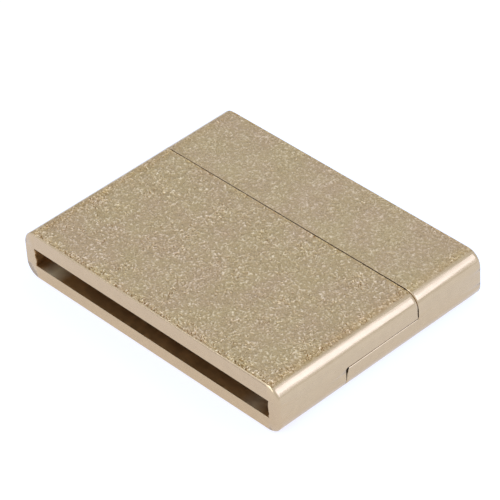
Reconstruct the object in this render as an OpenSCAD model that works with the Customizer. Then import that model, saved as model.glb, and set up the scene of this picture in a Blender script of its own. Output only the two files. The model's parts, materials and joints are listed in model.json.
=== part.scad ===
// Magnetic clasp for a flat strap: two like castings that lie head to tail, each with a magnet
// let into its tongue. X runs across the strap, Y along it, Z up. The origin is on the
// underside, at the middle of the closed clasp.

/* [Strap] */
// Width of the flat strap that goes into each half
strap_w = 30; // [20:1:40]
// Thickness of the strap, of the kind sold as 2 mm
strap_t = 1.9; // [1.6:0.1:3]
// Room beside the strap, on each side
strap_side_room = 0.6; // [0.1:0.1:1]
// Room over and under the strap, on each face
strap_face_room = 0.05; // [0.05:0.05:0.3]
// How far the strap goes in
pocket_depth = 7; // [5:0.5:10]
// Bevel around the mouth of the strap pocket
mouth_bevel = 0.04; // [0.02:0.02:0.3]

/* [Casting] */
// Wall beside the strap pocket
side_wall = 1.4; // [1.2:0.1:2.4]
// Wall between the strap pocket and the broad face that runs on over the tongue
long_face_wall = 1.8; // [1.4:0.1:2.2]
// Wall between the strap pocket and the shorter broad face, which ends at the step
short_face_wall = 1.5; // [1.3:0.1:2.2]
// Wall between the strap pocket and the step
step_wall = 1.3; // [0.8:0.05:2]
// Radius of the four long outer edges
long_edge_r = 1.6; // [0.8:0.1:2]
// Bevel around the end with the strap pocket
end_bevel = 0.15; // [0.05:0.05:0.3]
// Bevel on the edges that meet at the seam
seam_bevel = 0.05; // [0.02:0.01:0.15]
// Bevel along the sides of the mating face
mating_bevel = 0.08; // [0.02:0.01:0.2]
// Bevel on the upper edge of a tongue's end, which keeps it off the other half's fillet
tip_bevel = 0.2; // [0.1:0.05:0.3]
// Fillet at the foot of the step
foot_r = 0.2; // [0.1:0.05:0.3]

/* [Parting] */
// Gap between a tongue's end and the step of the other half
seam_gap = 0.08; // [0.06:0.02:0.3]
// Gap between the two mating faces
face_gap = 0.04; // [0.02:0.02:0.2]

/* [Pins] */
// Diameter of the guide pins
pin_d = 1.9; // [1.2:0.1:2.4]
// Height of the pins above the mating face, with their round tops
pin_h = 1.75; // [1.3:0.05:1.9]
// Distance from the side of the clasp to the centre of a pin
pin_side_inset = 4.6; // [3.4:0.1:6]
// Distance from the end of a tongue to the centres of its pin holes
hole_inset = 2.05; // [1.7:0.05:3]
// Radial clearance of a pin in its hole
pin_play = 0.2; // [0.1:0.05:0.3]
// Clearance over the top of a pin in its hole
pin_tip_room = 0.2; // [0.1:0.05:0.3]

/* [Magnets] */
// Diameter of the magnet discs
magnet_d = 7.2; // [5:0.1:9]
// Thickness of the magnet discs
magnet_t = 1.6; // [1:0.1:1.8]
// Radial clearance of a magnet in its pit
magnet_play = 0.2; // [0.1:0.05:0.3]
// Metal between a pit and the end of its tongue
magnet_rim = 0.8; // [0.5:0.1:1.5]
// Glue under a magnet
magnet_seat = 0.05; // [0.03:0.01:0.1]
// How far a magnet lies below the mating face
magnet_recess = 0.05; // [0.02:0.01:0.15]
// Bevel on the rims of the magnets and of the round holes
rim_bevel = 0.08; // [0.04:0.02:0.14]

/* [Hidden] */
$fn = 64;

// Pocket and outside of a casting
pocket_w = strap_w + 2 * strap_side_room;
pocket_h = strap_t + 2 * strap_face_room;
clasp_w = pocket_w + 2 * side_wall;
clasp_h = pocket_h + long_face_wall + short_face_wall;
pocket_z = long_face_wall + pocket_h / 2;
end_depth = pocket_depth + step_wall;

// Places along the strap in the lower half, whose thick end lies at +Y.
// The upper half is the same casting, turned over about the middle of the clasp.
pit_d = magnet_d + 2 * magnet_play;
overlap = pit_d + 2 * magnet_rim;
tip_y = -overlap / 2;
step_y = overlap / 2 + seam_gap;
end_y = step_y + end_depth;
mating_z = (clasp_h - face_gap) / 2;

// Pins, and the holes that take the pins of the other half
pin_x = clasp_w / 2 - pin_side_inset;
hole_y = tip_y + hole_inset;
pin_y = -hole_y;
pin_r = pin_d / 2;
hole_d = pin_d + 2 * pin_play;
hole_depth = pin_h - face_gap + pin_tip_room;

// A magnet lies off the middle of its pit by half its play, the way it was glued
magnet_drift = magnet_play / 2;
pit_depth = magnet_t + magnet_seat + magnet_recess;
magnet_z = mating_z - magnet_recess - magnet_t;

// How far a cut runs past the face that it starts from, and a boss into what carries it
past = 0.5;

plating = [0.74, 0.67, 0.53];
nickel = [0.80, 0.82, 0.81];

// Rectangle from the origin with its corners cut off, at x = 0 for the seam and at the far
// end for the strap pocket's end
module bevelled_rect(len, width) {
    polygon([
        [seam_bevel, 0], [len - end_bevel, 0],
        [len, end_bevel], [len, width - end_bevel],
        [len - end_bevel, width], [seam_bevel, width],
        [0, width - seam_bevel], [0, seam_bevel]
    ]);
}

// Bar with the outside of the clasp, along +Y, with round long edges and bevelled ends
module bar(len) {
    r = long_edge_r;
    for (x = [r - clasp_w / 2, clasp_w / 2 - r], z = [r, clasp_h - r])
        translate([x, 0, z])
            rotate([-90, 0, 0])
                rotate_extrude()
                    polygon([
                        [0, 0], [r - seam_bevel, 0], [r, seam_bevel],
                        [r, len - end_bevel], [r - end_bevel, len], [0, len]
                    ]);
    translate([r - clasp_w / 2, 0, 0])
        rotate([90, 0, 90])
            linear_extrude(clasp_w - 2 * r)
                bevelled_rect(len, clasp_h);
    translate([clasp_w / 2, 0, r])
        rotate([0, 0, 90])
            linear_extrude(clasp_h - 2 * r)
                bevelled_rect(len, clasp_w);
}

// Square bar along +X that cuts a bevel off the edge on its axis
module edge_cut(len, bevel) {
    rotate([45, 0, 0])
        cube([len, bevel * sqrt(2), bevel * sqrt(2)], center = true);
}

// Lower part of the bar, from the end of the tongue to the end of the casting
module tongue() {
    difference() {
        translate([0, tip_y, 0])
            bar(end_y - tip_y);
        translate([-clasp_w / 2 - past, tip_y - past, mating_z])
            cube([clasp_w + 2 * past, end_y - tip_y + 2 * past, clasp_h]);
        translate([0, tip_y, mating_z])
            edge_cut(clasp_w + 2 * past, tip_bevel);
        for (side = [-1, 1])
            translate([side * clasp_w / 2, 0, mating_z])
                rotate([0, 0, 90])
                    edge_cut(2 * step_y, mating_bevel);
    }
}

// Fillet where the mating face meets the step
module foot_fillet() {
    len = clasp_w - 2 * seam_bevel;
    translate([-len / 2, step_y, mating_z])
        rotate([90, 0, 90])
            linear_extrude(len)
                difference() {
                    translate([-foot_r, -foot_r])
                        square(2 * foot_r);
                    translate([-foot_r, foot_r])
                        circle(foot_r);
                }
}

module guide_pin() {
    straight = pin_h - pin_r;
    translate([0, 0, -past])
        cylinder(r = pin_r, h = straight + past);
    translate([0, 0, straight])
        sphere(pin_r);
}

// Round hole down from the origin, with a bevelled rim
module blind_hole(d, depth) {
    r = d / 2;
    rotate_extrude()
        polygon([
            [0, -depth], [r, -depth], [r, -rim_bevel],
            [r + rim_bevel, 0], [r + rim_bevel, past], [0, past]
        ]);
}

// Outline of the pocket's mouth in one direction across the strap, which widens to the end face
module mouth(width) {
    half = width / 2;
    polygon([
        [-half, -mouth_bevel], [half, -mouth_bevel],
        [half + mouth_bevel, 0], [half + mouth_bevel, past],
        [-half - mouth_bevel, past], [-half - mouth_bevel, 0]
    ]);
}

module strap_pocket() {
    translate([-pocket_w / 2, end_y - pocket_depth, long_face_wall])
        cube([pocket_w, pocket_depth + past, pocket_h]);
    translate([0, end_y, pocket_z])
        intersection() {
            linear_extrude(clasp_h, center = true)
                mouth(pocket_w);
            rotate([0, -90, 0])
                linear_extrude(clasp_w, center = true)
                    mouth(pocket_h);
        }
}

// One casting, as it lies in the lower half
module casting() {
    color(plating)
        difference() {
            union() {
                translate([0, step_y, 0])
                    bar(end_depth);
                tongue();
                foot_fillet();
                for (side = [-1, 1])
                    translate([side * pin_x, pin_y, mating_z])
                        guide_pin();
            }
            strap_pocket();
            translate([0, 0, mating_z])
                blind_hole(pit_d, pit_depth);
            for (side = [-1, 1])
                translate([side * pin_x, hole_y, mating_z])
                    blind_hole(hole_d, hole_depth);
        }
}

// One magnet disc, as it lies in the lower half
module magnet() {
    r = magnet_d / 2;
    color(nickel)
        translate([-magnet_drift, -magnet_drift, magnet_z])
            rotate_extrude()
                polygon([
                    [0, 0], [r - rim_bevel, 0], [r, rim_bevel],
                    [r, magnet_t - rim_bevel], [r - rim_bevel, magnet_t], [0, magnet_t]
                ]);
}

// Turns a piece of the lower half over into its place in the upper half
module turned_over() {
    translate([0, 0, clasp_h])
        rotate([180, 0, 0])
            children();
}

module lower_half() {
    casting();
}

module upper_half() {
    turned_over()
        casting();
}

module lower_magnet() {
    magnet();
}

module upper_magnet() {
    turned_over()
        magnet();
}

lower_half();
upper_half();
lower_magnet();
upper_magnet();
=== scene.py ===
import json
import math

import bmesh
import bpy
import numpy as np
from mathutils import Matrix, Vector
from mathutils.geometry import delaunay_2d_cdt


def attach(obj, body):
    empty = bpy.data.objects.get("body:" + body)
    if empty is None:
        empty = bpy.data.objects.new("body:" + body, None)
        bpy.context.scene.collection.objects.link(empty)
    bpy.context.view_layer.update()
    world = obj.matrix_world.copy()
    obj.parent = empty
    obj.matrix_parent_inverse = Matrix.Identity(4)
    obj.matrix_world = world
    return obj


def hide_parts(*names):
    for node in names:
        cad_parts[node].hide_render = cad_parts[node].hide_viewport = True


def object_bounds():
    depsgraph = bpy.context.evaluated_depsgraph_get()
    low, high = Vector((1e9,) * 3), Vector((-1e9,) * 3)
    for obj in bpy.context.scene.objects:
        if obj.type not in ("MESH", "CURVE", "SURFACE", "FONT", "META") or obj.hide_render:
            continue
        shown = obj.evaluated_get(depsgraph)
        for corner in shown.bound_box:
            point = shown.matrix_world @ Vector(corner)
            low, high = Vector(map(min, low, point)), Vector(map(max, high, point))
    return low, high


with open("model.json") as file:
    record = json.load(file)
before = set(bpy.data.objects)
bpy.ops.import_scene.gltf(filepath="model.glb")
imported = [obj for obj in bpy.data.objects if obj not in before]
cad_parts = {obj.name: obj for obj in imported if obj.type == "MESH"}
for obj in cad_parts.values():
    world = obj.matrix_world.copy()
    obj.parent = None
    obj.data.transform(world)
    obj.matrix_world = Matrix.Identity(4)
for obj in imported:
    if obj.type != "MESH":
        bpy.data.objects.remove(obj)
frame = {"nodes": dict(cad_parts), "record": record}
cad_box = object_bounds()

# Sizes in metres, in the frame of the part: X across the strap, Y along it, Z up. The mating faces
# of the two halves lie at the middle of the height.
MM = 0.001
CENTRE = (cad_box[0] + cad_box[1]) / 2
HALF_WIDTH = cad_box[1].x
TOP = cad_box[1].z
MIDDLE = TOP / 2
LONG_EDGE_R = 1.6 * MM
FLAT_HALF_WIDTH = HALF_WIDTH - LONG_EDGE_R

# The axes by number
X, Y, Z = range(3)

# The strap pocket of a half, and the bevel around its mouth
POCKET_HALF_WIDTH = 15.6 * MM
POCKET_HALF_HEIGHT = 1.0 * MM
POCKET_DEPTH = 7 * MM
MOUTH_BEVEL = 0.04 * MM

# The guide pins and their holes, at PIN_PLACE and where it is mirrored across X and Y, and the pit
# of the magnet around the middle. All of them lie within CORE_DEPTH of the middle of the height,
# and the bevelled rims of the holes and the pit within RIM_DEPTH.
PIN_PLACE = Vector((12.4 * MM, 2.55 * MM))
PIN_R = 0.95 * MM
HOLE_R = 1.15 * MM
PIT_R = 3.8 * MM
CORE_DEPTH = 2 * MM
RIM_DEPTH = 0.15 * MM

# Two places nearer than NEAR count as one, vertices nearer than WELD are merged, and a sharper
# turn than SHARP_ANGLE stays a sharp edge
NEAR = 0.01 * MM
WELD = 0.0001 * MM
SHARP_ANGLE = math.radians(50)

# How far a facet's normal leans along an axis, from 0 to 1: NOT_AT_ALL or less is none, A_LITTLE
# or more is clearly some, and WHOLLY or more is all of it
NOT_AT_ALL = 0.01
A_LITTLE = 0.1
WHOLLY = 0.999

# Sandblasted grain: the step of its points, how far they stray as a share of that, and its depth.
# It runs over the first stretch of the round long edges, up to GRAIN_REACH, where it fades out.
# The facets that it takes the place of, and the bevels around them, lie within SKIN_DEPTH of the
# broad face. Along the clasp, the round edges are cut in steps of ROUNDING_STEP to meet it.
GRAIN_STEP = 0.13 * MM
GRAIN_JITTER = 0.32
GRAIN_DEPTH = 0.12 * MM
GRAIN_FADE = 0.25 * MM
GRAIN_REACH = math.radians(26)
SKIN_DEPTH = 0.2 * MM
ROUNDING_STEP = 2 * GRAIN_STEP

# The grain's points lie in the rows of a triangular grid: how far these are apart and how far each
# is shifted to one side or the other, as shares of the step, and how far the first points keep from
# the rim
ROW_STEP = math.sqrt(0.75)
ROW_SHIFT = 0.25
RIM_INSET = 0.6

# How much deeper the grain is beside the round long edges, how much stronger its painted glints are
# beside the strap's end, and how far both reach
SIDE_GAIN = 0.35
END_PAINTED_GLINT = 0.3
EDGE_REACH = 0.4 * MM

# The lower half is blasted more evenly than the upper one. For each half: the share of the grain's
# relief and of its painted glints that it has, the mean of the grain level that paints the glints,
# from 0, all pits, to 1, all peaks, and how much deeper the grain is beside the strap's end.
# MEAN_HEIGHT is the mean of the random heights.
BLAST = {"lower": (0.72, 0.57, 0.3), "upper": (1.0, 0.5, 2.0)}
MEAN_HEIGHT = 0.5

# How far the darker, warmer tint of the grain reaches from an edge, and how far the painted shade
# reaches from the seam
EDGE_TINT_REACH = 0.35 * MM
SEAM_SHADE_REACH = 0.2 * MM

# Soft patches of stronger and weaker grain: how many waves make them, how long these are on
# average and how far the depth strays
PATCH_WAVES = 30
PATCH_LENGTH = 5 * MM
PATCH_GAIN = 0.15

# The rim of a broad face, at the strap's end and at the seam: the share of the grain's depth that
# it has, and how far it strays along the clasp
END_RELIEF = 0.6
END_STRAY = 0.035 * MM
SEAM_RELIEF = 0.25
SEAM_STRAY = 0.015 * MM

# Uneven cast ends of the strap pockets: the step of their facets, how far these stray, and how
# much of that a whole row of facets has in common and each point has of its own
UNEVEN_STEP = 0.25 * MM
UNEVEN_STRAY = 0.16 * MM
ROW_SHARE = 0.7
POINT_SHARE = 0.3

# Beside the tip of a tongue the seam is wider than in the CAD here and there: pairs of a distance
# from the tongue's broad face and how much wider, both in millimetres. The side is cut in steps for
# it, and only what lies within TIP_REACH of the tip moves.
WIDER_SEAM = {
    "lower": ((1.3, 0.0), (2.0, 0.02), (2.2, 0.06), (2.45, 0.13)),
    "upper": ((1.3, 0.0), (1.6, 0.05), (2.0, 0.07), (2.3, 0.03), (2.5, 0.0)),
}
WIDER_SEAM_STEP = 0.15 * MM
TIP_REACH = 0.3 * MM

# Kind of result and tolerance, in millimetres, of the triangulation
TRIANGLES_INSIDE = 1
SAME_POINT = 1e-5

# Seeds of all that is random on each half
SEEDS = {"lower": 11, "upper": 23}

# Slots of the halves' own materials, in this order on each mesh
SANDBLASTED, SATIN, POLISHED, POCKET, HOLE = range(5)


# The finishes of a half

def in_pocket(place, mouth):
    """Whether a place is inside a strap pocket or on its walls. mouth is the middle of its mouth."""
    return (
        abs(place.x) < POCKET_HALF_WIDTH + MOUTH_BEVEL + NEAR
        and abs(place.z - mouth.z) < POCKET_HALF_HEIGHT + MOUTH_BEVEL + NEAR
        and abs(mouth.y - place.y) < POCKET_DEPTH + NEAR
    )


def finish_of(face, mouth):
    """Which finish a face of a half has, from where it lies."""
    centre = face.calc_center_median()
    if in_pocket(centre, mouth) and abs(mouth.y - centre.y) > MOUTH_BEVEL + NEAR:
        return POCKET
    depth = abs(centre.z - MIDDLE)
    if depth > CORE_DEPTH:
        return SATIN
    for y in (PIN_PLACE.y, -PIN_PLACE.y):
        reach = Vector((centre.x - math.copysign(PIN_PLACE.x, centre.x), centre.y - y, 0))
        if reach.length < PIN_R + NEAR and face.normal.dot(reach) > 0:
            return POLISHED
        if reach.length < HOLE_R + NEAR and depth > RIM_DEPTH:
            return HOLE
    if centre.xy.length < PIT_R + NEAR and depth > RIM_DEPTH:
        return HOLE
    return SATIN


# The mesh of a half

def slice_faces(bm, faces, axis, low, high, step):
    """Cuts faces along even planes across an axis."""
    normal = Vector((0, 0, 0))
    normal[axis] = 1
    verts = dict.fromkeys(vert for face in faces for vert in face.verts)
    edges = dict.fromkeys(edge for face in faces for edge in face.edges)
    geom = list(verts) + list(edges) + list(faces)
    count = round((high - low) / step)
    for i in range(1, count):
        place = normal * (low + (high - low) * i / count)
        cut = bmesh.ops.bisect_plane(bm, geom=geom, dist=WELD, plane_co=place, plane_no=normal)
        geom = cut["geom"]


def widen_seam(bm, mouth, widths):
    """Takes a little off the tip of the tongue at its sides."""
    towards_end = math.copysign(1, mouth.y)
    broad_z = 0 if mouth.z > MIDDLE else TOP
    tip_y = min((vert.co.y for vert in bm.verts), key=lambda y: y * towards_end)
    sides = [face for face in bm.faces if abs(face.calc_center_median().x) > HALF_WIDTH - NEAR]
    slice_faces(bm, sides, Z, LONG_EDGE_R, TOP - LONG_EDGE_R, WIDER_SEAM_STEP)
    distances, wider = zip(*widths)
    for vert in bm.verts:
        if abs(vert.co.x) > FLAT_HALF_WIDTH and abs(vert.co.y - tip_y) < TIP_REACH:
            distance = abs(vert.co.z - broad_z) / MM
            vert.co.y += towards_end * float(np.interp(distance, distances, wider)) * MM


def open_outline(bm, broad_z):
    """The corners of the opening left in a broad face, in order, anticlockwise from above."""
    neighbours = {}
    for edge in bm.edges:
        if edge.is_boundary and abs(edge.verts[0].co.z - broad_z) < LONG_EDGE_R:
            for vert in edge.verts:
                neighbours.setdefault(vert, []).append(edge.other_vert(vert))
    start = min(neighbours, key=lambda vert: (round(vert.co.y / NEAR), vert.co.x))
    outline = [start]
    here = max(neighbours[start], key=lambda vert: vert.co.x)
    while here is not start:
        before = outline[-1]
        outline.append(here)
        here = next(vert for vert in neighbours[here] if vert is not before)
    return outline


def open_broad_face(bm, broad_z):
    """Takes a broad face away, and cuts what lies around it as finely as its grain will be."""
    def satin_within(depth):
        return [
            face
            for face in bm.faces
            if face.material_index == SATIN
            and abs(face.calc_center_median().z - broad_z) < depth
        ]

    broad = [face for face in satin_within(SKIN_DEPTH) if abs(face.normal.z) > math.cos(GRAIN_REACH)]
    bmesh.ops.delete(bm, geom=broad, context="FACES_ONLY")
    bmesh.ops.delete(bm, geom=[edge for edge in bm.edges if edge.is_wire], context="EDGES")
    rim = open_outline(bm, broad_z)
    low_y = min(vert.co.y for vert in rim)
    high_y = max(vert.co.y for vert in rim)
    roundings = [
        face
        for face in satin_within(LONG_EDGE_R)
        if NOT_AT_ALL < abs(face.normal.x) < WHOLLY and abs(face.normal.y) < A_LITTLE
    ]
    slice_faces(bm, roundings, Y, low_y, high_y, ROUNDING_STEP)
    bevels = [
        face
        for face in satin_within(SKIN_DEPTH)
        if abs(face.normal.x) < NOT_AT_ALL and abs(face.normal.y) > A_LITTLE
    ]
    slice_faces(bm, bevels, X, -FLAT_HALF_WIDTH, FLAT_HALF_WIDTH, GRAIN_STEP)


def scattered(low, high, rng):
    """Points inside a rectangle on a jittered triangular grid."""
    rows = int((high.y - low.y) / (GRAIN_STEP * ROW_STEP))
    columns = int((high.x - low.x) / GRAIN_STEP)
    points = []
    for row, y in enumerate(np.linspace(low.y, high.y, rows + 1)):
        shift = ROW_SHIFT if row % 2 else -ROW_SHIFT
        x = np.linspace(low.x, high.x, columns + 1)[1:-1] + shift * GRAIN_STEP
        jitter = (rng.random_sample((len(x), 2)) - 0.5) * 2 * GRAIN_JITTER * GRAIN_STEP
        points.append(np.column_stack([x, np.full(len(x), y)]) + jitter)
    return np.vstack(points)


def grain_fade(x, half_width):
    """Share of the grain that is left near the rim on the round long edges."""
    return np.clip((half_width - np.abs(x)) / GRAIN_FADE, 0, 1)


def patches(points, rng):
    """How strong the grain is at each point, as a share, in soft patches."""
    total = np.zeros(len(points))
    for angle, length, phase in rng.random_sample((PATCH_WAVES, 3)):
        heading = (math.cos(math.tau * angle), math.sin(math.tau * angle))
        wave = PATCH_LENGTH * (0.5 + length)
        total += np.sin(points @ np.array(heading) * math.tau / wave + math.tau * phase)
    return 1 + PATCH_GAIN * total / math.sqrt(PATCH_WAVES / 2)


def rounding_drop(x):
    """How far the round long edges lie below the broad face."""
    past = np.clip(np.abs(x) - FLAT_HALF_WIDTH, 0, LONG_EDGE_R)
    return LONG_EDGE_R - np.sqrt(LONG_EDGE_R ** 2 - past ** 2)


def grain_rim(bm, layers, broad_z, end_y, blast, rng):
    """Makes the rim around a broad face uneven at the strap's end and at the seam."""
    inward = math.copysign(1, MIDDLE - broad_z)
    grain, edge_tint_seam_shade = layers
    share, mean, _ = blast
    rim = open_outline(bm, broad_z)
    half_width = max(vert.co.x for vert in rim)
    seam_y = max((vert.co.y for vert in rim), key=lambda y: abs(y - end_y))
    for vert in rim:
        height, stray = rng.random_sample(2)
        fade = share * float(grain_fade(vert.co.x, half_width))
        # The rim's level of painted glint, and its share of edge tint and painted seam shade
        vert[grain] = mean + (height - MEAN_HEIGHT) * fade
        vert[edge_tint_seam_shade] = fade
        from_seam = abs(vert.co.y - seam_y)
        from_end = abs(vert.co.y - end_y)
        if from_seam < NEAR:
            vert.co.z += inward * (1 - height) * GRAIN_DEPTH * SEAM_RELIEF * fade
            vert.co.y += (2 * stray - 1) * SEAM_STRAY * fade
        elif from_end < from_seam and abs(vert.co.x) < FLAT_HALF_WIDTH:
            vert.co.z += inward * (1 - height) * GRAIN_DEPTH * END_RELIEF * fade
            vert.co.y += (2 * stray - 1) * END_STRAY * fade
    return rim


def grain_inside(rim, end_y, blast, rng):
    """The grain inside the rim of a broad face: places, depths below the face, painted glint levels,
    and shares of edge tint and painted seam shade.
    """
    share, mean, end_gain = blast
    low = Vector((min(vert.co.x for vert in rim), min(vert.co.y for vert in rim)))
    high = Vector((max(vert.co.x for vert in rim), max(vert.co.y for vert in rim)))
    seam_y = max(low.y, high.y, key=lambda y: abs(y - end_y))
    inset = Vector((RIM_INSET, RIM_INSET)) * GRAIN_STEP
    places = scattered(low + inset, high - inset, rng)
    heights = rng.random_sample(len(places))
    x, y = places.T
    from_side = np.maximum(FLAT_HALF_WIDTH - np.abs(x), 0)
    from_end = np.abs(y - end_y)
    from_seam = np.abs(y - seam_y)
    near_side = np.exp(-from_side / EDGE_REACH)
    near_end = np.exp(-from_end / EDGE_REACH)
    fade = share * grain_fade(x, high.x)
    gain = patches(places, rng) + np.maximum(SIDE_GAIN * near_side, end_gain * near_end)
    depths = rounding_drop(x) + GRAIN_DEPTH * (1 - heights) * fade * gain
    # The grain level paints the glints, with stronger ones beside the strap's end
    contrast = fade * (1 + END_PAINTED_GLINT * near_end)
    glint_levels = mean + (heights - MEAN_HEIGHT) * contrast
    # Share of a darker, warmer tint near the edges and of painted shade beside the seam
    near_edge = np.exp(-np.minimum(from_end, from_side) / EDGE_TINT_REACH)
    edge_tint_seam_shades = np.maximum(near_edge, np.exp(-from_seam / SEAM_SHADE_REACH)) * fade
    return places, depths, glint_levels, edge_tint_seam_shades


def regrain(bm, layers, broad_z, end_y, blast, rng):
    """Fills the opening of a broad face with a fine mesh in the sandblasted relief."""
    inward = math.copysign(1, MIDDLE - broad_z)
    grain, edge_tint_seam_shade = layers
    rim = grain_rim(bm, layers, broad_z, end_y, blast, rng)
    places, depths, glint_levels, edge_tint_seam_shades = grain_inside(rim, end_y, blast, rng)
    flat = [vert.co.xy for vert in rim] + [Vector(place) for place in places]
    in_mm = [place / MM for place in flat]
    outline = list(range(len(rim)))
    found = delaunay_2d_cdt(in_mm, [], [outline], TRIANGLES_INSIDE, SAME_POINT)
    triangles, sources = found[2:4]
    verts = []
    for source, *_ in sources:
        if source < len(rim):
            verts.append(rim[source])
            continue
        i = source - len(rim)
        vert = bm.verts.new((flat[source].x, flat[source].y, broad_z + inward * depths[i]))
        vert[grain] = glint_levels[i]
        vert[edge_tint_seam_shade] = edge_tint_seam_shades[i]
        verts.append(vert)
    for triangle in triangles:
        corners = [verts[i] for i in triangle]
        face = bm.faces.new(corners if inward < 0 else corners[::-1])
        face.material_index = SANDBLASTED


def uneven_pocket(bm, mouth, rng):
    """Makes the short walls of a strap pocket uneven, as cast."""
    walls = [
        face
        for face in bm.faces
        if in_pocket(face.calc_center_median(), mouth)
        and abs(face.normal.x) > A_LITTLE
    ]
    low_z, high_z = mouth.z - POCKET_HALF_HEIGHT, mouth.z + POCKET_HALF_HEIGHT
    slice_faces(bm, walls, Z, low_z, high_z, UNEVEN_STEP)
    walls = [
        face
        for face in bm.faces
        if face.material_index == POCKET
        and abs(face.normal.x) > A_LITTLE
    ]
    inner_y = mouth.y - math.copysign(POCKET_DEPTH, mouth.y)
    slice_faces(bm, walls, Y, min(mouth.y, inner_y), max(mouth.y, inner_y), UNEVEN_STEP)
    row_strays = {}
    for vert in sorted(bm.verts, key=lambda vert: tuple(round(n / NEAR) for n in vert.co)):
        x, y, z = vert.co
        if not in_pocket(vert.co, mouth) or abs(x) < POCKET_HALF_WIDTH - NEAR:
            continue
        if abs(z - mouth.z) > POCKET_HALF_HEIGHT - NEAR or abs(y - inner_y) < NEAR:
            continue
        row = (x > 0, round((z - mouth.z) / NEAR))
        if row not in row_strays:
            row_strays[row] = 2 * rng.random_sample() - 1
        at_mouth = abs(y - mouth.y) < MOUTH_BEVEL + NEAR
        own_stray = 0 if at_mouth else 2 * rng.random_sample() - 1
        vert.co.x += UNEVEN_STRAY * (row_strays[row] * ROW_SHARE + own_stray * POINT_SHARE)


def dressed_mesh(body, mouth, name):
    """The CAD solid of a half with grained broad faces, uneven pocket walls and its finishes."""
    rng = np.random.RandomState(SEEDS[body])
    bm = bmesh.new()
    bm.from_mesh(frame["nodes"][body + "_half"].data)
    # Layers per vertex: one paints glints on the grain's peaks, the other a darker, warmer tint near
    # the edges and painted shade beside the seam
    grain = bm.verts.layers.float.new("grain")
    edge_tint_seam_shade = bm.verts.layers.float.new("edge_tint_seam_shade")
    bmesh.ops.remove_doubles(bm, verts=bm.verts, dist=WELD)
    bm.normal_update()
    for face in bm.faces:
        face.material_index = finish_of(face, mouth)
    widen_seam(bm, mouth, WIDER_SEAM[body])
    for broad_z in (0, TOP):
        open_broad_face(bm, broad_z)
    uneven_pocket(bm, mouth, rng)
    for broad_z in (0, TOP):
        regrain(bm, (grain, edge_tint_seam_shade), broad_z, mouth.y, BLAST[body], rng)
    bm.normal_update()
    mesh = bpy.data.meshes.new(name)
    bm.to_mesh(mesh)
    bm.free()
    return mesh


def dressed_half(body, mouth, name):
    """A half in its finishes, with smooth shading that keeps its sharp edges."""
    mesh = dressed_mesh(body, mouth, name)
    old_normals = mesh.attributes.get("custom_normal")
    if old_normals:
        mesh.attributes.remove(old_normals)
    mesh.shade_smooth()
    mesh.set_sharp_from_angle(angle=SHARP_ANGLE)
    piece = bpy.data.objects.new(name, mesh)
    bpy.context.scene.collection.objects.link(piece)
    even = piece.modifiers.new("even_normals", "WEIGHTED_NORMAL")
    even.keep_sharp = True
    return piece


# Helpers for the materials

# Sockets of a Mix node when it mixes colours: three inputs and the output
MIX_FACTOR, MIX_FIRST, MIX_SECOND, MIX_RESULT = 0, 6, 7, 2

# Nearly all values of a noise lie between these
NOISE_LOW, NOISE_HIGH = 0.3, 0.7


def shader(name):
    """A new material, its node tree and its shader."""
    material = bpy.data.materials.new(name)
    material.use_nodes = True
    tree = material.node_tree
    return material, tree, tree.nodes["Principled BSDF"]


def set_inputs(tree, node, inputs):
    """Sets inputs of a node to values, or links them to other nodes' outputs."""
    for key, value in inputs.items():
        if isinstance(value, bpy.types.NodeSocket):
            tree.links.new(value, node.inputs[key])
        else:
            node.inputs[key].default_value = value


def add(tree, kind, inputs, **settings):
    """A new node with its inputs and settings."""
    node = tree.nodes.new(kind)
    for key, value in settings.items():
        setattr(node, key, value)
    set_inputs(tree, node, inputs)
    return node


def millimetres(tree, scale=(1, 1, 1)):
    """Object coordinates in millimetres, times a scale for each axis."""
    place = add(tree, "ShaderNodeTexCoord", {}).outputs["Object"]
    inputs = {0: place, 1: tuple(factor / MM for factor in scale)}
    return add(tree, "ShaderNodeVectorMath", inputs, operation="MULTIPLY").outputs[0]


def painted(tree, name):
    """The value that the mesh has at each place in one of its layers."""
    return add(tree, "ShaderNodeAttribute", {}, attribute_name=name).outputs["Fac"]


def noise(tree, vector, scale, detail=2.0, roughness=0.5):
    inputs = {"Vector": vector, "Scale": scale, "Detail": detail, "Roughness": roughness}
    return add(tree, "ShaderNodeTexNoise", inputs).outputs["Fac"]


def ramp(tree, factor, low, high, out_low=0.0, out_high=1.0):
    """factor from low to high, mapped to out_low to out_high."""
    inputs = {
        "Value": factor,
        "From Min": low,
        "From Max": high,
        "To Min": out_low,
        "To Max": out_high,
    }
    return add(tree, "ShaderNodeMapRange", inputs, clamp=True).outputs["Result"]


def varied(tree, pattern, low, high):
    """A value that follows a noise, from low to high."""
    return ramp(tree, pattern, NOISE_LOW, NOISE_HIGH, low, high)


def maths(tree, operation, first, second):
    return add(tree, "ShaderNodeMath", {0: first, 1: second}, operation=operation).outputs[0]


def blend_colour(tree, factor, first, second, blend_type="MIX"):
    inputs = {MIX_FACTOR: factor, MIX_FIRST: first, MIX_SECOND: second}
    mix = add(tree, "ShaderNodeMix", inputs, data_type="RGBA", blend_type=blend_type)
    return mix.outputs[MIX_RESULT]


def tinted(tree, base, tint):
    """A colour multiplied by another."""
    return blend_colour(tree, 1.0, base, tint, "MULTIPLY")


def colour(red, green, blue):
    return (red, green, blue, 1)


def shade(base, factor):
    """A colour made darker or lighter by a factor."""
    return colour(*(channel * factor for channel in base[:3]))


def mottled(tree, pattern, base, low, high):
    """A colour that follows a pattern, between two shades of it."""
    return blend_colour(tree, pattern, shade(base, low), shade(base, high))


def bump(tree, height, distance, strength=1.0, under=None):
    inputs = {"Height": height, "Distance": distance, "Strength": strength}
    if under is not None:
        inputs["Normal"] = under
    return add(tree, "ShaderNodeBump", inputs).outputs["Normal"]


# Materials

# A pair of shades or of roughnesses is for the lows and for the highs of a pattern. The scale of a
# noise is about the number of its waves in a millimetre.

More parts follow.
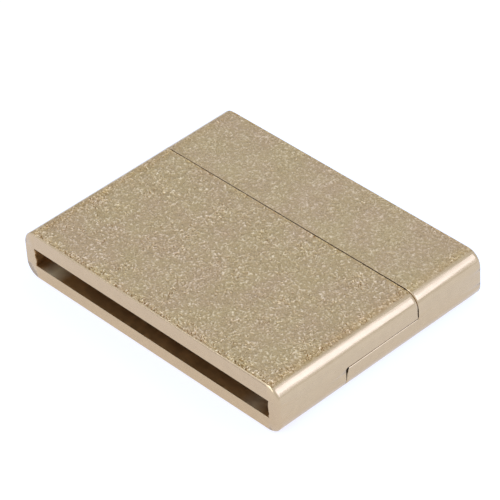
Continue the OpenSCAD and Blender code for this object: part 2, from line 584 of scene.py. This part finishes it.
SANDBLASTED_GOLD = colour(0.525, 0.381, 0.196)
SATIN_GOLD = colour(0.556, 0.409, 0.235)
PIN_GOLD = colour(0.72, 0.57, 0.34)
# The pocket and hole browns are dark to paint the shade inside these recesses
POCKET_SHADE_BROWN = colour(0.41, 0.228, 0.081)
HOLE_SHADE_BROWN = colour(0.19, 0.10, 0.04)
NICKEL = colour(0.686, 0.648, 0.495)

# The shade of the grain away from its painted glints, the colour of the glints painted on its
# highest peaks, how few of these are bright, and the tint that makes it darker and warmer near its
# edges and paints shade beside the seam. Broad soft patches have one tinge or the other.
GRAIN_DARK = 0.92
PAINTED_GLINT = colour(1.0, 0.82, 0.55)
GRAIN_POWER = 5.0
EDGE_TINT_SEAM_SHADE = colour(0.98, 0.94, 0.84)
GRAIN_ROUGHNESS = (0.35, 0.25)
GRAIN_BUMP = 0.06 * MM
YELLOW_TINGE = colour(1.0, 1.0, 0.95)
PINK_TINGE = colour(1.0, 0.965, 1.0)
TINGE_RANGE = (0.35, 0.65)


def sandblasted_metal():
    """Light gold plating on a sandblasted face, with glints painted on the highest points and dull
    pits.
    """
    material, tree, bsdf = shader("sandblasted_gold")
    place = millimetres(tree)
    fine = noise(tree, place, 9.0, roughness=0.6)
    broad = noise(tree, place, 0.3)
    # Glints painted on the highest peaks, from the grain level of each vertex
    glint_mask = maths(tree, "POWER", painted(tree, "grain"), GRAIN_POWER)
    body = blend_colour(tree, glint_mask, shade(SANDBLASTED_GOLD, GRAIN_DARK), PAINTED_GLINT)
    tinge = blend_colour(tree, ramp(tree, broad, *TINGE_RANGE), YELLOW_TINGE, PINK_TINGE)
    body = tinted(tree, body, tinge)
    # A darker, warmer tint near the edges, and painted shade beside the seam
    body = blend_colour(tree, painted(tree, "edge_tint_seam_shade"), body, tinted(tree, body, EDGE_TINT_SEAM_SHADE))
    set_inputs(tree, bsdf, {
        "Base Color": body,
        "Roughness": varied(tree, fine, *GRAIN_ROUGHNESS),
        "Metallic": 1.0,
        "Normal": bump(tree, fine, GRAIN_BUMP),
    })
    return material


SATIN_SHADES = (0.93, 1.07)
SATIN_ROUGHNESS = (0.20, 0.30)
SATIN_STREAKS = (2.5, 0.35, 6)
SATIN_BUMP = 0.01 * MM
SATIN_FINE_BUMP = 0.004 * MM


def satin_metal():
    """The same plating on the smooth edges, ends and mating faces, with faint streaks."""
    material, tree, bsdf = shader("satin_gold")
    place = millimetres(tree)
    streaks = noise(tree, millimetres(tree, SATIN_STREAKS), 1.0, detail=3.0, roughness=0.6)
    mottle = noise(tree, place, 1.1, detail=3.0, roughness=0.6)
    coarse = bump(tree, streaks, SATIN_BUMP, strength=0.6)
    set_inputs(tree, bsdf, {
        "Base Color": mottled(tree, mottle, SATIN_GOLD, *SATIN_SHADES),
        "Roughness": varied(tree, streaks, *SATIN_ROUGHNESS),
        "Metallic": 1.0,
        "Normal": bump(tree, noise(tree, place, 9.0), SATIN_FINE_BUMP, strength=0.5, under=coarse),
    })
    return material


PIN_SHADES = (0.95, 1.07)
PIN_ROUGHNESS = (0.10, 0.18)


def polished_metal():
    """The guide pins, glossy and in a lighter gold than the rest of the plating."""
    material, tree, bsdf = shader("polished_gold")
    wear = noise(tree, millimetres(tree), 2.0, detail=3.0)
    set_inputs(tree, bsdf, {
        "Base Color": mottled(tree, wear, PIN_GOLD, *PIN_SHADES),
        "Roughness": varied(tree, wear, *PIN_ROUGHNESS),
        "Metallic": 1.0,
    })
    return material


# Painted reflections: pale patches on the walls of a strap pocket, near its ends. For each, the
# place across the strap, how far it fades out to both sides, in millimetres, and how much of the
# pale colour it has
PAINTED_REFLECTIONS = ((-13.5, 1.6, 1.0), (13.3, 1.6, 0.45))
REFLECTION_GOLD = colour(1.0, 0.86, 0.56)


def painted_reflections(tree, place):
    """Share of the painted reflection colour at a place."""
    across = add(tree, "ShaderNodeSeparateXYZ", {"Vector": place}).outputs["X"]
    total = 0.0
    for middle, reach, share in PAINTED_REFLECTIONS:
        distance = maths(tree, "ABSOLUTE", maths(tree, "SUBTRACT", across, middle), 0)
        total = maths(tree, "ADD", ramp(tree, distance, 0, reach, share, 0), total)
    return total


CAST_SHADES = (0.7, 1.25)
CAST_ROUGHNESS = (0.38, 0.55)
CAST_BUMP = 0.02 * MM


def recess_shade_metal(name, base_colour, pale=False):
    """Rough walls inside the strap pockets, the pin holes and the pits, in a dark brown that paints
    their shade.
    """
    material, tree, bsdf = shader(name)
    place = millimetres(tree)
    grime = noise(tree, place, 1.6, detail=4.0, roughness=0.6)
    base = mottled(tree, grime, base_colour, *CAST_SHADES)
    # Reflections of the surroundings, painted as pale patches on the pocket walls
    if pale:
        base = blend_colour(tree, painted_reflections(tree, place), base, REFLECTION_GOLD)
    set_inputs(tree, bsdf, {
        "Base Color": base,
        "Roughness": varied(tree, grime, *CAST_ROUGHNESS),
        "Metallic": 0.9,
        "Normal": bump(tree, noise(tree, place, 5.0, detail=3.0), CAST_BUMP, strength=0.5),
    })
    return material


NICKEL_SHADES = (0.93, 1.07)
NICKEL_ROUGHNESS = (0.42, 0.3)
NICKEL_BUMP = 0.015 * MM

# Smeared stains on the magnets: the scale of their noise along each axis, between which of its
# values they fade in, and their share and shade
SMEAR = (0.6, 1.6, 1)
STAIN_RANGE = (0.52, 0.70)
STAIN_SHARE = 0.45
STAIN_SHADE = 0.8

# A pinhole in the plating of the lower magnet: its place, its radius and the radius where it has
# faded out, in millimetres, and its share and shade
PINHOLE = (-2.5, -0.4, 2.58)
PINHOLE_R = 0.12
PINHOLE_END_R = 1.6 * PINHOLE_R
PINHOLE_SHARE = 0.8
PINHOLE_SHADE = 0.25


def magnet_metal():
    """Dull nickel plating of the magnet discs, with faint stains and a pinhole."""
    material, tree, bsdf = shader("magnet_nickel")
    place = millimetres(tree)
    cloud = noise(tree, place, 0.7, detail=3.0, roughness=0.6)
    smear = noise(tree, millimetres(tree, SMEAR), 1.0)
    base = mottled(tree, varied(tree, cloud, 0.0, 1.0), NICKEL, *NICKEL_SHADES)
    stain = ramp(tree, smear, *STAIN_RANGE, 0.0, STAIN_SHARE)
    base = blend_colour(tree, stain, base, shade(NICKEL, STAIN_SHADE))
    from_hole = add(tree, "ShaderNodeVectorMath", {0: place, 1: PINHOLE}, operation="DISTANCE")
    pinhole = ramp(tree, from_hole.outputs["Value"], PINHOLE_R, PINHOLE_END_R, PINHOLE_SHARE, 0.0)
    base = blend_colour(tree, pinhole, base, shade(NICKEL, PINHOLE_SHADE))
    set_inputs(tree, bsdf, {
        "Base Color": base,
        "Roughness": varied(tree, cloud, *NICKEL_ROUGHNESS),
        "Metallic": 0.9,
        "Normal": bump(tree, noise(tree, place, 3.5, detail=4.0), NICKEL_BUMP, strength=0.4),
    })
    return material


# The pieces

mouths = {
    mount["name"].split("_")[0]: Vector(mount["pos_m"])
    for mount in frame["record"]["mounts"]
    if mount["name"].endswith("_strap_pocket")
}
finishes = [
    sandblasted_metal(),
    satin_metal(),
    polished_metal(),
    # The pocket walls also get painted reflections near their ends
    recess_shade_metal("pocket_shade_gold", POCKET_SHADE_BROWN, pale=True),
    recess_shade_metal("hole_shade_gold", HOLE_SHADE_BROWN),
]
for body in ("lower", "upper"):
    piece = dressed_half(body, mouths[body], body + "_casting")
    for material in finishes:
        piece.data.materials.append(material)
    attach(piece, body)
    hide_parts(body + "_half")

nickel = magnet_metal()
for node in ("lower_magnet", "upper_magnet"):
    frame["nodes"][node].data.materials[0] = nickel


# Studio: floor, lights, world and camera

# The table glows evenly behind FRONT_START, and a little less and warmer in front of FRONT_END
FLOOR_RADIUS = 1.5
FLOOR_SIDES = 96
FLOOR_DROP = 0.02 * MM
FLOOR_COLOUR = colour(0.30, 0.40, 0.53)
FLOOR_GLOW = colour(0.74, 0.72, 0.76)
FRONT_GLOW = colour(0.72, 0.65, 0.63)
FRONT_START = -8 * MM
FRONT_END = -14 * MM
SURROUNDINGS = colour(0.90, 0.993, 1.22)

# The softboxes: azimuth and elevation in degrees, radiance, side in metres and tint. Azimuth 0 is
# at -Y and 90 at +X. Each faces the clasp from the same distance.
SOFTBOX_DISTANCE = 0.6
SOFTBOXES = {
    "left_softbox": (-13, 27, 2.66, 0.38, (0.68, 0.79, 1)),
    "right_softbox": (115, 36, 2.65, 0.42, (0.48, 0.58, 1)),
    "overhead_softbox": (0, 88, 1.65, 0.12, (0.75, 0.85, 1)),
}


def direction(azimuth, elevation):
    """Unit vector from the clasp towards an azimuth and elevation in degrees."""
    turn = math.radians(azimuth)
    rise = math.radians(elevation)
    level = math.cos(rise)
    return Vector((math.sin(turn) * level, -math.cos(turn) * level, math.sin(rise)))


def studio_floor():
    """A pale round table top, just under the clasp, that glows faintly as if lit from below."""
    bm = bmesh.new()
    bmesh.ops.create_circle(bm, cap_ends=True, radius=FLOOR_RADIUS, segments=FLOOR_SIDES)
    mesh = bpy.data.meshes.new("floor")
    bm.to_mesh(mesh)
    bm.free()
    floor = bpy.data.objects.new("floor", mesh)
    floor.location = (0, 0, -FLOOR_DROP)
    bpy.context.scene.collection.objects.link(floor)
    material, tree, bsdf = shader("floor_white")
    place = add(tree, "ShaderNodeTexCoord", {}).outputs["Object"]
    along = add(tree, "ShaderNodeSeparateXYZ", {"Vector": place}).outputs["Y"]
    glow = blend_colour(tree, ramp(tree, along, FRONT_END, FRONT_START), FRONT_GLOW, FLOOR_GLOW)
    set_inputs(tree, bsdf, {
        "Base Color": FLOOR_COLOUR,
        "Roughness": 0.9,
        "Specular IOR Level": 0.1,
        "Emission Color": glow,
        "Emission Strength": 1.0,
    })
    mesh.materials.append(material)


def softbox(name, azimuth, elevation, radiance, side, tint):
    """A square area light that faces the clasp."""
    back = direction(azimuth, elevation)
    data = bpy.data.lights.new(name, "AREA")
    data.shape = "SQUARE"
    data.size = side
    data.energy = radiance * math.pi * side ** 2
    data.color = tint
    light = bpy.data.objects.new(name, data)
    light.location = CENTRE + back * SOFTBOX_DISTANCE
    light.rotation_mode = "QUATERNION"
    light.rotation_quaternion = (-back).to_track_quat("-Z", "Y")
    bpy.context.scene.collection.objects.link(light)


def studio_lights():
    world = bpy.data.worlds.new("studio")
    world.use_nodes = True
    world.node_tree.nodes["Background"].inputs["Color"].default_value = SURROUNDINGS
    bpy.context.scene.world = world
    for name, settings in SOFTBOXES.items():
        softbox(name, *settings)


# The photograph's angle to the closed clasp, in degrees, and its distance and lens. The camera aims
# at a point VIEW_AIM_RISE over the clasp's centre.
VIEW_AZIMUTH = 48.2
VIEW_ELEVATION = 39.25
VIEW_ROLL = -3.7
VIEW_DISTANCE = 0.278
VIEW_AIM_RISE = 1.5 * MM
NEAREST_SEEN = 0.01
LENS = 216
SENSOR_WIDTH = 36


def studio_camera():
    back = direction(VIEW_AZIMUTH, VIEW_ELEVATION)
    place = CENTRE + back * VIEW_DISTANCE
    aim = CENTRE + Vector((0, 0, VIEW_AIM_RISE))
    data = bpy.data.cameras.new("camera")
    data.lens = LENS
    data.sensor_width = SENSOR_WIDTH
    data.clip_start = NEAREST_SEEN
    camera = bpy.data.objects.new("camera", data)
    level = (aim - place).to_track_quat("-Z", "Y")
    roll = Matrix.Rotation(math.radians(VIEW_ROLL), 4, "Z").to_quaternion()
    camera.location = place
    camera.rotation_mode = "QUATERNION"
    camera.rotation_quaternion = level @ roll
    bpy.context.scene.collection.objects.link(camera)
    bpy.context.scene.camera = camera


studio_floor()
studio_lights()
studio_camera()
bpy.context.scene.view_settings.view_transform = "Standard"
